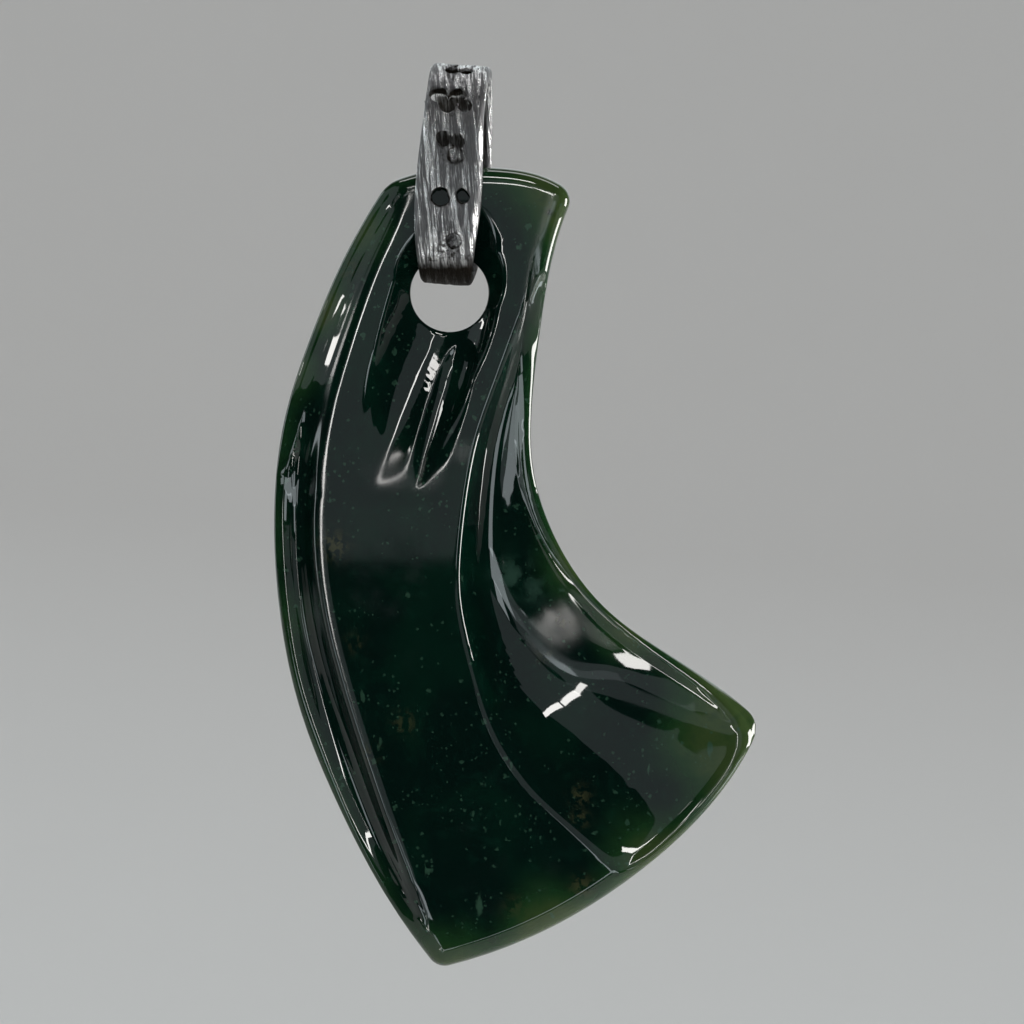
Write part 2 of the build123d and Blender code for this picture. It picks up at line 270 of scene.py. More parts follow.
# %% [markdown]
# The outline is walked again in even steps and split at its four corners, which are named by
# their pixels in the photograph. A second line runs inside it, where the front is flat again
# after the rounded edge: the front and back sheets end on that line, and a rim joins them.

# %% Line helpers
def walk_lengths(points):
    """Distance walked along each line of points; the points' last axis holds the place."""
    steps = np.sqrt((np.diff(points, axis=-2) ** 2).sum(axis=-1))
    return np.concatenate([np.zeros(steps.shape[:-1] + (1,)), np.cumsum(steps, axis=-1)], axis=-1)


def walk_again(points, stops):
    """Points at given distances along a line."""
    run = walk_lengths(points)
    return np.column_stack([np.interp(stops, run, points[:, k]) for k in range(points.shape[1])])


def nearest(line, place):
    """Index of the line's point that is nearest to a place."""
    return int(np.argmin(np.hypot(*(line - place).T)))


def blurred(values, width, ends):
    """Values averaged with a bell curve, its width in steps. The ends are "wrap" or "edge"."""
    reach = int(3 * width) + 1
    bell = np.exp(-0.5 * (np.arange(-reach, reach + 1) / width) ** 2)
    bell /= bell.sum()
    padded = np.pad(values, [(reach, reach)] + [(0, 0)] * (values.ndim - 1), mode=ends)
    return sum(w * padded[k:k + len(values)] for k, w in enumerate(bell))


# %% Outline and its inner line
outline_steps, outline_blur, rim_reach = 4000, 6, 1.25
closed = np.vstack([outline_raw, outline_raw[:1]])
even_stops = np.linspace(0, walk_lengths(closed)[-1], outline_steps, endpoint=False)
outline = blurred(walk_again(closed, even_stops), outline_blur, "wrap")
onward = np.roll(outline, -1, axis=0)
if np.sum(outline[:, 0] * onward[:, 1] - outline[:, 1] * onward[:, 0]) < 0:
    outline = outline[::-1]
forward = np.roll(outline, -3, axis=0) - np.roll(outline, 3, axis=0)
outward = np.column_stack([forward[:, 1], -forward[:, 0]]) / np.hypot(*forward.T)[:, None]
print("outline", round(float(walk_lengths(outline)[-1]), 1), "mm round")

# %% Corners
corner_pixels = {"top left": (389, 184), "foot tip": (439, 967),
                 "right tip": (762, 724), "top right": (575, 195)}
corner_stops = {name: nearest(outline, from_pixel(*pixel)) for name, pixel in corner_pixels.items()}
print("corners", {name: outline[stop].round(2).tolist() for name, stop in corner_stops.items()})

# %% [markdown]
# ## The sheet's grid
#
# The stone is a bent strip, so its grid has rows that run from the outer side to the inner
# side and columns that run from the top to the foot. The four sides of the grid are the four
# sides of the outline, and the inside is blended from them.

# %% Sides of the grid
row_count, column_count = 240, 110


def at_stop(values, stops):
    """Values between the outline's steps."""
    whole = np.floor(stops).astype(int)
    part = (stops - whole)[:, None]
    return values[whole % outline_steps] * (1 - part) + values[(whole + 1) % outline_steps] * part


def grid_side(start, end, turned=False):
    """A function from shares of the side between two corners to points of the inner line."""
    first, last = corner_stops[start], corner_stops[end]
    last += outline_steps * (last < first)
    if turned:
        first, last = last, first

    def points(shares):
        stops = first + (last - first) * shares
        return at_stop(outline, stops) - rim_reach * at_stop(outward, stops)
    return points


outer, foot = grid_side("top left", "foot tip"), grid_side("foot tip", "right tip")
inner, top = grid_side("right tip", "top right", True), grid_side("top right", "top left", True)
print("corner gap", round(float(np.abs(outer(np.array([1.0])) - foot(np.array([0.0]))).max()), 3), "mm")


# %% Blended grid
def blended_grid(down, across):
    """Points at shares down and across, blended between the four sides."""
    v, u = down[:, None, None], across[None, :, None]
    sides = (1 - u) * outer(down)[:, None] + u * inner(down)[:, None]
    ends = (1 - v) * top(across)[None] + v * foot(across)[None]
    corners = ((1 - v) * ((1 - u) * top(across[:1])[None] + u * top(across[-1:])[None])
               + v * ((1 - u) * foot(across[:1])[None] + u * foot(across[-1:])[None]))
    return sides + ends - corners


probe_count = 600
probe_shares = np.linspace(0, 1, probe_count + 1)
probe_grid = blended_grid(np.linspace(0, 1, row_count + 1), probe_shares)
print("probe grid", probe_grid.shape, "first row", probe_grid[0, 0].round(2), probe_grid[0, -1].round(2))

# %% [markdown]
# The main face is a plane, so the carved hollows begin where the front falls behind it. On
# each row the first and last places that are still on the plane give the two crests.

# %% Plane of the main face
face_pixels = ((350, 620), (400, 700), (380, 560), (430, 650))
places = [from_pixel(*pixel) for pixel in face_pixels]
face_slope, face_start = np.polyfit([z for x, z in places], [stone_at(x, z, -1) for x, z in places], 1)
print("main face y =", round(face_start, 4), "+", round(face_slope, 5), "z")


def fall_behind_face(x, z):
    """How far the front lies behind the main face's plane at a place, 9 beside the stone."""
    y = stone_at(x, z, -1)
    return 9.0 if y is None else y - (face_start + face_slope * z)


# %% Crests
fall_limit = 0.03
probe_fall = np.array([[fall_behind_face(*place) for place in row] for row in probe_grid])
on_face = [np.where(fall < fall_limit)[0] for fall in probe_fall]
outer_crest = probe_shares[[row[0] for row in on_face]]
inner_crest = probe_shares[[row[-1] for row in on_face]]
print("outer crest", outer_crest[::24].round(3))
print("inner crest", inner_crest[::24].round(3))

# %% [markdown]
# The columns are gathered along both crests, where the polish shows the finest lines, and
# spread out between them.

# %% Columns along the crests
outer_columns, face_columns, inner_columns = 30, 44, 36
least_outer, least_inner, crest_blur, gather = 1.2, 1.0, 3, 0.72
row_length = walk_lengths(probe_grid)[:, -1]
outer_knot = np.maximum(blurred(outer_crest, crest_blur, "edge"), least_outer / row_length)[:, None]
inner_knot = np.minimum(blurred(inner_crest, crest_blur, "edge"), 1 - least_inner / row_length)[:, None]
to_outer, to_inner, to_side = [np.linspace(0, 1, count + 1)
                               for count in (outer_columns, face_columns, inner_columns)]
to_outer = (1 + gather) * to_outer - gather * to_outer ** 2
to_inner = to_inner - gather * np.sin(2 * math.pi * to_inner) / (2 * math.pi)
to_side = (1 - gather) * to_side + gather * to_side ** 2
across_shares = np.hstack([outer_knot * to_outer,
                           (outer_knot + (inner_knot - outer_knot) * to_inner)[:, 1:],
                           (inner_knot + (1 - inner_knot) * to_side)[:, 1:]])
plan_grid = np.zeros((row_count + 1, column_count + 1, 2))
for row, shares in enumerate(across_shares):
    plan_grid[row] = np.column_stack([np.interp(shares, probe_shares, line) for line in probe_grid[row].T])
print("grid", plan_grid.shape, "first step", np.diff(plan_grid[0], axis=0)[0].round(3), "mm")

# %% [markdown]
# ## Depths of the front and back sheets
#
# Each grid point takes the depth of the solid. Between the crests the front lies on the main
# face's plane.

# %% Depths
fall = np.array([[max(fall_behind_face(*place), 0) for place in row] for row in plan_grid])
face_span = slice(outer_columns + 2, outer_columns + face_columns - 1)
fall[:, face_span] = 0
back = np.array([[stone_at(*place, 1) for place in row] for row in plan_grid], dtype=float)
print("deepest fall", round(float(fall.max()), 2), "mm, missed behind", int(np.isnan(back).sum()))


# %% Averages along rows and columns
def blur_rows(values, places, widths):
    """Each row averaged by distance with a bell curve whose width may change over the grid."""
    run = walk_lengths(places)
    share = np.gradient(run, axis=1)
    room = np.minimum(run, run[:, -1:] - run)
    widths = np.clip(widths, 1e-4, np.maximum(room / 2, 1e-4))
    away = (run[:, :, None] - run[:, None, :]) / widths[:, :, None]
    weight = np.exp(-0.5 * away ** 2) * share[:, None, :]
    return (weight * values[:, None, :]).sum(axis=2) / weight.sum(axis=2)


def blur_columns(part, widths):
    """The front's fall in some columns, averaged the same way down the columns."""
    places = plan_grid[:, part].transpose(1, 0, 2)
    smooth_fall[:, part] = blur_rows(smooth_fall[:, part].T, places, widths.T).T


def bend_smooth(values, places, hold, reach):
    """Each row as the evenest bent line near its values: hold says how firmly, reach how far."""
    run = walk_lengths(places)
    step = np.diff(run, axis=1)
    one, two = step[:, :-1], step[:, 1:]
    count = run.shape[1]
    bend = np.zeros((len(run), count - 2, count))
    middle = np.arange(count - 2)
    bend[:, middle, middle] = 2 / (one * (one + two))
    bend[:, middle, middle + 1] = -2 / (one * two)
    bend[:, middle, middle + 2] = 2 / (two * (one + two))
    share = np.gradient(run, axis=1)
    firm = hold * share
    stiff = reach[:, None, None] ** 4 * bend.transpose(0, 2, 1) @ (bend * share[:, 1:-1, None])
    stiff[:, np.arange(count), np.arange(count)] += firm
    return np.linalg.solve(stiff, (firm * values)[:, :, None])[:, :, 0]


def distance_from(column):
    """Distance along each row from one column, in millimetres."""
    run = walk_lengths(plan_grid)
    return np.abs(run - run[:, column:column + 1])


shares_down = np.linspace(0, 1, row_count + 1)[:, None]


def down_rows(shares, values):
    """A value for each row, from values at shares of the way down."""
    return np.interp(shares_down, shares, values)


# %% [markdown]
# The hollow and the outer bevel were ground with wheels, so they bend evenly. Each line across
# them becomes the evenest curve near its measured depths, held firmly at the crest and at the
# rim, and then each line down does the same.

# %% Even bends
from_inner = distance_from(outer_columns + face_columns)
from_outer = distance_from(outer_columns)
hollow, bevel = slice(outer_columns + face_columns, column_count + 1), slice(0, outer_columns + 1)
crest_hold, rim_hold, rounds = 400, 1e5, 2


def bend_part(part, hold, reach, column_reach):
    """Bend the fall of some columns smooth, across and then down."""
    places = plan_grid[:, part]
    hold[:, 0], hold[:, -1] = rim_hold, rim_hold
    column_reach = np.full(places.shape[1], column_reach)
    for _ in range(rounds):
        fall[:, part] = bend_smooth(fall[:, part], places, hold, reach[:, 0])
        fall[:, part] = bend_smooth(fall[:, part].T, places.transpose(1, 0, 2), hold.T, column_reach).T


hollow_hold = down_rows((0, 0.6, 0.75, 1), (crest_hold, crest_hold, 0, 0))
bend_part(hollow, 1 + hollow_hold * np.exp(-(from_inner[:, hollow] / 0.7) ** 2),
          down_rows((0, 0.3, 0.5, 0.7, 1), (0.5, 0.8, 1.0, 1.4, 1.6)), 2.2)
bend_part(bevel, 1 + crest_hold * np.exp(-(from_outer[:, bevel] / 0.45) ** 2),
          down_rows((0, 0.1, 0.3, 0.42, 0.55, 0.7, 1), (0.4, 0.9, 0.8, 0.8, 1.0, 0.5, 0.5)), 1.4)
print("deepest", round(float(fall[:, hollow].max()), 2), "and", round(float(fall[:, bevel].max()), 2), "mm")

# %% [markdown]
# A bell-curve average along the rows then rounds the crests, as a polishing wheel does. Its
# width changes down the stone and grows away from the crests. A second average runs down the
# columns of the hollow and of the bevel, so that reflections flow there without facets.

# %% Rounded crests
inner_roll = down_rows((0, 0.35, 0.55, 0.66, 0.76, 1), (0.10, 0.14, 0.16, 0.18, 0.20, 0.20))
outer_roll = down_rows((0, 0.08, 0.26, 0.36, 0.8, 1), (0.30, 0.42, 0.34, 0.13, 0.15, 0.3))
bevel_growth = down_rows((0, 0.26, 0.36, 1), (0.6, 0.6, 0.25, 0.25))
bevel_most = down_rows((0, 0.26, 0.36, 1), (1.2, 1.2, 0.5, 0.5))
column_number = np.arange(column_count + 1)
in_hollow = column_number > outer_columns + face_columns
bevel_width = np.minimum(bevel_growth * from_outer, bevel_most) * (column_number < outer_columns)
crest_width = np.where(from_inner < from_outer,
                       np.maximum(inner_roll, 0.15 * from_inner * in_hollow), outer_roll + bevel_width)
smooth_fall = blur_rows(fall, plan_grid, crest_width)
flow_width = np.interp(np.arange(inner_columns + 1), (0, 6, 14), (0.6, 1.3, 2.0))[None]
blur_columns(hollow, flow_width * down_rows((0, 0.08, 0.22, 0.34, 1), (1.0, 2.0, 2.0, 1.0, 1.0)))
print("crests rounded by at most", round(float(np.abs(smooth_fall - fall).max()), 3), "mm")

# %% [markdown]
# Two shallow dents in the hollow, a tenth of a millimetre deep or less, gather the light of
# the strips into the two bright marks of the photograph. Each dent runs from one pixel to
# another. Along the outer crest the face itself turns down a little, which shows as a strip.

# %% Dents and the turned edge of the face
dents = [((541, 720), (597, 672), 0.12, 2.4, 4.5), ((622, 655), (668, 667), 0.020, 1.0, 2.6)]
for dent_from, dent_to, depth, across, along in dents:
    start, end = np.array(from_pixel(*dent_from)), np.array(from_pixel(*dent_to))
    way = (end - start) / np.hypot(*(end - start))
    away = plan_grid - (start + end) / 2
    lengthwise, sideways = away @ way, away @ np.array([-way[1], way[0]])
    shape = np.exp(-0.5 * (sideways / across) ** 2 - 0.5 * (lengthwise / along) ** 2)
    smooth_fall += depth * shape * in_hollow * np.clip(from_inner / 2.0, 0, 1) ** 2
blur_columns(bevel, np.full((row_count + 1, outer_columns + 1), 0.35))
roll_width, roll_drop, roll_columns = 1.3, 0.05, 20
on_face = (column_number >= outer_columns) & (column_number <= outer_columns + roll_columns)
face_roll = roll_drop * np.clip(1 - from_outer / roll_width, 0, 1) ** 2 * on_face
face_roll[:, :outer_columns] = roll_drop
smooth_fall = smooth_fall + face_roll * down_rows((0, 0.2, 0.3, 0.85, 1), (0, 0, 1, 1, 0))
front = face_start + face_slope * plan_grid[:, :, 1] + smooth_fall
print("dents", len(dents), "face turned down by", roll_drop, "mm")

# %% [markdown]
# ## Recess and drilled hole
#
# The hole, its dish and the two scoops are round or pointed, so rows and columns suit them
# badly. A block of cells is left out round them and filled with rings: from the block's edge
# to the recess's outline, down to the drilled hole, through it and out to the back. The lower
# ends of the scoops are softened more, because they run out gently.

# %% Recess outline
ray_count = 1440
ray_angles = np.linspace(-math.pi, math.pi, ray_count, endpoint=False)
recess_limit, recess_blur, recess_step, farthest = 0.03, 3, 0.05, 17.0


def recess_reach(angle):
    """Distance from the hole's middle to where the face plane begins, along one direction."""
    away = np.arange(hole_radius + 0.02, farthest, recess_step)
    places = hole_middle + away[:, None] * np.array([math.cos(angle), math.sin(angle)])
    for far, place in zip(away, places):
        if fall_behind_face(*place) < recess_limit:
            return far
    return away[-1]


recess_raw = np.array([recess_reach(angle) for angle in ray_angles])
recess_ring = blurred(recess_raw, recess_blur, "wrap")
print("recess reaches", recess_ring.min().round(2), "to", recess_ring.max().round(2), "mm")


# %% Block of cells left out
def points_round(top, foot, left, right):
    """Grid points round a block as rows and columns, once round from its top left corner."""
    return ([(top, c) for c in range(left, right)] + [(r, right) for r in range(top, foot)]
            + [(foot, c) for c in range(right, left, -1)] + [(r, left) for r in range(foot, top, -1)])


from_hole = plan_grid - hole_middle
hole_angle = np.arctan2(from_hole[:, :, 1], from_hole[:, :, 0])
hole_away = np.hypot(from_hole[:, :, 0], from_hole[:, :, 1])
recess_at = np.interp(hole_angle, ray_angles, recess_ring, period=2 * math.pi)
block_room = 0.5
rows_in, columns_in = np.where(hole_away < recess_at + block_room)
top_row, foot_row = rows_in.min() - 1, rows_in.max() + 1
left_column, right_column = columns_in.min() - 1, columns_in.max() + 1
block_loop = points_round(top_row, foot_row, left_column, right_column)
print("block rows", top_row, foot_row, "columns", left_column, right_column, "of face columns",
      outer_columns, outer_columns + face_columns, "loop", len(block_loop))


# %% Softened line
def soften_walk(points, width):
    """A line's points averaged by distance along it, with both ends held."""
    lines = np.array([points] * points.shape[1])
    return blur_rows(points.T, lines, np.broadcast_to(width, lines.shape[:2])).T


# %% Rings from the front block, through the hole, to the back block
ring_counts = (6, 44, 9, 10, 5)
ring_total = sum(ring_counts)
edge_softness, scoop_softness, scoop_fade, flare_width = 0.13, 1.1, 3.0, 1.5
scoop_from, scoop_span, hole_room = 7, 5, 0.01
face_samples, dish_samples, bore_samples, flare_samples = 30, 160, 60, 40


def hole_line(angle, start):
    """Ring points along one direction: in over the recess, through the hole, out to the back."""
    direction = np.array([math.cos(angle), math.sin(angle)])
    recess = float(np.interp(angle, ray_angles, recess_ring, period=2 * math.pi))

    def depth(away, side):
        """Y of the front (-1), the back (1) or the main face (0) at a distance from the middle."""
        x, z = hole_middle + away * direction
        face = face_start + face_slope * z
        y = stone_at(x, z, side) if side else face
        return face if y is None else max(y, face) if side < 0 else y

    def stretch(first, last, count, side):
        return [(away, depth(away, side)) for away in np.linspace(first, last, count)]

    flare_edge = hole_radius + flare_width
    face = stretch(start, recess, face_samples, 0)[:-1]
    dish = stretch(recess, hole_radius + hole_room, dish_samples, -1)
    flare = stretch(hole_radius + hole_room, flare_edge, flare_samples, 1)
    bore = [(hole_radius, y) for y in np.linspace(dish[-1][1], flare[0][1], bore_samples)[1:-1]]
    rear = stretch(flare_edge, start, face_samples, 1)[1:]
    whole = np.array(face + dish + bore + flare + rear)
    run = walk_lengths(whole)
    marks = run[np.cumsum([len(face), len(dish), len(bore), len(flare)])]
    stops = np.interp(np.arange(ring_total + 1), np.cumsum([0, *ring_counts]), [0, *marks, run[-1]])
    in_scoop = np.clip((recess - scoop_from) / scoop_span, 0, 1)
    lower_end = scoop_softness * in_scoop * np.exp(-((run - marks[0]) / scoop_fade) ** 2)
    away, y = walk_again(soften_walk(whole, edge_softness + lower_end), stops).T
    return np.column_stack([hole_middle[0] + away * direction[0], y, hole_middle[1] + away * direction[1]])


hole_rings = np.stack([hole_line(hole_angle[spot], hole_away[spot]) for spot in block_loop], axis=1)
print("hole rings", hole_rings.shape)

# %% [markdown]
# ## Rim
#
# The rim turns from the front sheet to the back one. At each point of the inner line rays fan
# out from the middle of the stone's thickness, from straight ahead to straight behind, and
# the points they touch are softened and spaced evenly.

# %% Rim
rim_rings, rim_softness, fan_rays = 20, 0.16, 81
fan = np.sin(np.linspace(-1, 1, fan_rays) * math.pi / 2) * math.pi / 2
border = points_round(0, row_count, 0, column_count)
inner_line = outline - rim_reach * outward
rim_outward = outward[[nearest(inner_line, plan_grid[spot]) for spot in border]]
rim_points = np.zeros((rim_rings + 1, len(border), 3))
for k, spot in enumerate(border):
    x, z = plan_grid[spot]
    centre = Vector((x, (stone_at(x, z, -1) + stone_at(x, z, 1)) / 2, z))
    side_x, side_z = rim_outward[k]
    ways = [Vector((math.cos(turn) * side_x, math.sin(turn), math.cos(turn) * side_z)) for turn in fan]
    touched = soften_walk(np.array([gauge.ray_cast(centre, way)[0] for way in ways]), rim_softness)
    rim_points[:, k] = walk_again(touched, np.linspace(0, walk_lengths(touched)[-1], rim_rings + 1))
print("rim", rim_points.shape)

# %% [markdown]
# ## The stone's mesh
#
# Front sheet, back sheet, rim and hole share their border points, so the mesh is closed.

# %% Stone mesh
back = np.where(np.isnan(back), np.nanmean(back), back)
sheets = [np.dstack([plan_grid[:, :, 0], depth, plan_grid[:, :, 1]]).reshape(-1, 3)
          for depth in (front, back)]
rim_inner, hole_inner = [rings[1:-1].reshape(-1, 3) for rings in (rim_points, hole_rings)]
all_points = np.vstack([*sheets, rim_inner, hole_inner])
next_row, sheet_points = column_count + 1, len(sheets[0])
border_index, loop_index = [np.array(spots) @ (next_row, 1) for spots in (border, block_loop)]


def band_faces(first, between_start, between_rings, count, last):
    """Quads of a closed band from one ring of indices through new rings to another."""
    rings = [first] + [between_start + r * count + np.arange(count) for r in range(between_rings)] + [last]
    return np.vstack([np.column_stack([one, np.roll(one, -1), np.roll(two, -1), two])
                      for one, two in zip(rings, rings[1:])])


cells = [row * next_row + column for row in range(row_count) for column in range(column_count)
         if not (top_row <= row < foot_row and left_column <= column < right_column)]
sheet_faces = np.array(cells)[:, None] + np.array([0, next_row, next_row + 1, 1])
rim_start, hole_start = 2 * sheet_points, 2 * sheet_points + len(rim_inner)
stone_faces = np.vstack([
    sheet_faces, sheet_faces[:, ::-1] + sheet_points,
    band_faces(border_index, rim_start, rim_rings - 1, len(border), border_index + sheet_points),
    band_faces(loop_index, hole_start, ring_total - 1, len(block_loop),
               loop_index + sheet_points)[:, ::-1]])
used = np.unique(stone_faces)
renumber = np.full(len(all_points), -1)
renumber[used] = np.arange(len(used))
stone_places, stone_faces = all_points[used], renumber[stone_faces]
print("stone", len(stone_places), "points", len(stone_faces), "faces")

# %% Stone object
stone = link_mesh("polished_stone", stone_places * mm, stone_faces)
shape = bmesh.new()
shape.from_mesh(stone.data)
volume = shape.calc_volume(signed=True) / mm ** 3
open_edges = sum(1 for edge in shape.edges if not edge.is_manifold)
shape.free()
print("stone volume", round(volume, 1), "open edges", open_edges)

# %% [markdown]
# ## The bail
#
# The silver loop was sawn, pierced and filed by hand, so its edges are soft and uneven. A
# voxel remesh of the solid gives even faces all over, which the file marks can move.

# %% Bail blank
bail_voxel, soft_steps = 0.085, 3
bail = link_mesh("filed_bail", *merged_points("bail"))
remesh = bail.modifiers.new("even_faces", "REMESH")
remesh.mode, remesh.voxel_size = "VOXEL", bail_voxel
soft = bail.modifiers.new("soft_edges", "SMOOTH")
soft.factor, soft.iterations = 0.5, soft_steps


def apply_modifiers(thing):
    """Give an object the mesh that its modifiers make, and take the modifiers away."""
    graph = bpy.context.evaluated_depsgraph_get()
    made = bpy.data.meshes.new_from_object(thing.evaluated_get(graph))
    thing.modifiers.clear()
    before, thing.data = thing.data, made
    bpy.data.meshes.remove(before)


apply_modifiers(bail)
bail.data.transform(Matrix.Scale(mm, 4))
bail.data.polygons.foreach_set("use_smooth", [True] * len(bail.data.polygons))
print("bail", len(bail.data.polygons), "faces")

# %% [markdown]
# ## Painting the stone
#
# Nephrite lets light in for a few millimetres. Where it is thin the green turns bright and
# yellowish, and where it is thick it goes nearly black. That glow is painted into the colour
# here. Painted masks hold what has a place on this stone, as a pixel, a radius in pixels and
# a strength: pale thin zones of painted glow, rusty patches, ripples left by the cutting
# wheel, a haze, dark specks and places with a dull polish. The fine grain comes later from
# noise.

# %% Zones
# The pale zones are painted glow: they make the stone paler where light would shine through it.
zones = {
    "pale": [((552, 196), 46, 0.75), ((565, 570), 34, 0.5), ((620, 640), 30, 0.55), ((716, 735), 58, 1.0),
             ((640, 850), 52, 0.6), ((545, 915), 44, 0.7), ((455, 945), 36, 0.45), ((372, 235), 30, 0.6),
             ((325, 310), 26, 0.5), ((300, 372), 24, 0.45), ((300, 620), 26, 0.25)],
    "rust": [((335, 545), 13, 1.0), ((580, 795), 9, 0.9), ((580, 818), 8, 0.8), ((582, 885), 10, 1.0),
             ((405, 722), 10, 0.7), ((562, 622), 13, 0.6), ((370, 752), 9, 0.6), ((515, 905), 10, 0.5),
             ((356, 643), 9, 0.5), ((546, 655), 9, 0.5), ((345, 268), 13, 0.5), ((326, 318), 10, 0.5)],
    "ripple": [((492, 690), 36, 1.0), ((433, 380), 24, 0.15), ((515, 655), 24, 0.7)],
    "haze": [((512, 576), 17, 0.9), ((534, 590), 12, 0.8), ((420, 240), 14, 0.4), ((368, 352), 9, 0.7)],
    "dark": [((550, 213), 3.2, 1.0), ((562, 618), 8, 0.5), ((300, 640), 26, 0.3)],
    "dull": [((392, 470), 24, 1.0), ((425, 474), 22, 1.0), ((462, 452), 16, 0.8), ((300, 640), 40, 0.25),
             ((558, 630), 24, 1.0)]}
print("zones", {name: len(rows) for name, rows in zones.items()})


# %% Painted masks
def painted(places, rows):
    """A mask that fades out from each zone's pixel over its radius."""
    mask = np.zeros(len(places))
    for pixel, radius, strength in rows:
        x, z = from_pixel(*pixel)
        away = np.hypot(places[:, 0] - x, places[:, 2] - z) / (radius * pixel_size)
        mask = np.maximum(mask, strength * np.exp(-away ** 2))
    return mask


def line_distance(places, line):
    """Distance from a line of points seen from the front, in millimetres."""
    away = []
    for part in np.array_split(places[:, ::2], 20):
        away.append(np.sqrt(((part[:, None] - line[None]) ** 2).sum(axis=2).min(axis=1)))
    return np.concatenate(away)


def keep_mask(mesh, name, values):
    """A float value on each vertex."""
    mesh.attributes.new(name, "FLOAT", "POINT").data.foreach_set("value", values.astype(np.float32))


masks = {name: painted(stone_places, rows) for name, rows in zones.items()}
outer_line, top_side_line = plan_grid[:170, outer_columns], plan_grid[:60, -1]
# Painted glow: the stone turns paler towards its outline, where the thin edge lets light through.
thin_edge_glow = 0.55 * np.exp(-(line_distance(stone_places, outline[::8]) / 1.5) ** 1.3)
masks["pale"] = np.clip(masks["pale"] + thin_edge_glow, 0, 1)
behind_face = stone_places[:, 1] - (face_start + face_slope * stone_places[:, 2])
masks["ripple"] *= np.clip((behind_face - 0.5) / 0.6, 0, 1)
for line, strength, width in ((outer_line, 0.8, 0.45), (top_side_line, 0.9, 0.5)):
    worn = strength * np.exp(-(line_distance(stone_places, line) / width) ** 2)
    masks["dull"] = np.maximum(masks["dull"], worn)
for name, values in masks.items():
    keep_mask(stone.data, name, values)
print("mask means", {name: round(float(values.mean()), 3) for name, values in masks.items()})

# %% [markdown]
# ## Shader building blocks
#
# Small functions make the nodes. A node's inputs are given as names or numbers with what
# feeds them: another node's output, or a plain value for the socket itself.

# %% Node helpers
def add_node(tree, kind, inputs=None, **settings):
    """A node of a kind with its plain settings and its inputs, beside the ones before it."""
    made = tree.nodes.new(kind)
    row, column = divmod(len(tree.nodes), 8)
    made.location = (column * 220, row * -300)
    for name, value in settings.items():
        setattr(made, name, value)
    for name, source in (inputs or {}).items():
        join(tree, source, made.inputs[name])
    return made


def join(tree, source, target):
    """Link an output socket to an input socket, or set a plain value on the input."""
    if isinstance(source, bpy.types.NodeSocket):
        tree.links.new(source, target)
    else:
        target.default_value = source


def maths(tree, operation, *values, clamp=False):
    """A Math node's result."""
    inputs = dict(enumerate(values))
    return add_node(tree, "ShaderNodeMath", inputs, operation=operation, use_clamp=clamp).outputs[0]


def vectors(tree, operation, first, second, name=1):
    """A Vector Math node's result."""
    return add_node(tree, "ShaderNodeVectorMath", {0: first, name: second}, operation=operation).outputs[0]


def ramp(tree, value, low, high):
    """A value spread smoothly from low to high over 0 to 1."""
    return add_node(tree, "ShaderNodeMapRange", {"Value": value, "From Min": low, "From Max": high},
                    interpolation_type="SMOOTHSTEP").outputs["Result"]


def mixed(tree, share, first, second):
    """Two colours mixed by a share."""
    first, second = [(*colour, 1) if isinstance(colour, tuple) else colour for colour in (first, second)]
    return add_node(tree, "ShaderNodeMix", {0: share, 6: first, 7: second}, data_type="RGBA").outputs[2]


def noise(tree, vector, scale, detail=3.0, distortion=0.0, roughness=0.5, output="Fac"):
    """A noise texture's output at a place given in metres; scale is features in a metre."""
    return add_node(tree, "ShaderNodeTexNoise", {
        "Vector": vector, "Scale": scale, "Detail": detail, "Roughness": roughness,
        "Distortion": distortion}).outputs[output]


def attribute(tree, name):
    """A painted mask's value in a material."""
    return add_node(tree, "ShaderNodeAttribute", attribute_name=name).outputs["Fac"]


def new_group(name, kind, inputs, outputs):
    """An empty group tree with named sockets, the outputs of its input node, and its output node."""
    tree = bpy.data.node_groups.new(name, kind)
    for way, sockets in (("INPUT", inputs), ("OUTPUT", outputs)):
        for label, socket_kind in sockets.items():
            tree.interface.new_socket(label, in_out=way, socket_type="NodeSocket" + socket_kind)
    return tree, add_node(tree, "NodeGroupInput").outputs, add_node(tree, "NodeGroupOutput")


def new_material(name):
    """A material with its tree, its Principled shader and the object's coordinates."""
    material = bpy.data.materials.new(name)
    material.use_nodes = True
    tree = material.node_tree
    where = add_node(tree, "ShaderNodeTexCoord").outputs["Object"]
    return material, tree, tree.nodes["Principled BSDF"], where


# %% [markdown]
# An effect that is used more than once is a node group with named inputs: specks of a size
# and share, and fine scratches along one direction. The groups put out masks and heights
# only. The Principled shader stays in each material.

# %% Specks group
specks, given, result = new_group(
    "specks", "ShaderNodeTree", {"Vector": "Vector", "Cells": "Float", "Share": "Float", "Size": "Float",
                                 "Raggedness": "Float", "Cluster": "Float"}, {"Mask": "Float"})
cells = add_node(specks, "ShaderNodeTexVoronoi", {"Vector": given["Vector"], "Scale": given["Cells"]},
                 feature="F1")
tone = add_node(specks, "ShaderNodeSeparateColor", {"Color": cells.outputs["Color"]})
ragged = noise(specks, given["Vector"], maths(specks, "MULTIPLY", given["Cells"], 3.1))
ragged = maths(specks, "MULTIPLY", maths(specks, "SUBTRACT", ragged, 0.5), given["Raggedness"])
far = maths(specks, "ADD", cells.outputs["Distance"], ragged)
size = maths(specks, "MULTIPLY", tone.outputs["Green"], given["Size"])
size = maths(specks, "ADD", size, maths(specks, "MULTIPLY", given["Size"], 0.35))
inside = ramp(specks, far, size, maths(specks, "MULTIPLY", size, 0.45))
crowd = ramp(specks, noise(specks, given["Vector"], given["Cluster"]), 0.38, 0.68)
chosen = maths(specks, "LESS_THAN", tone.outputs["Red"], maths(specks, "MULTIPLY", given["Share"], crowd))
join(specks, maths(specks, "MULTIPLY", inside, chosen, clamp=True), result.inputs["Mask"])
print("specks group", len(specks.nodes), "nodes")

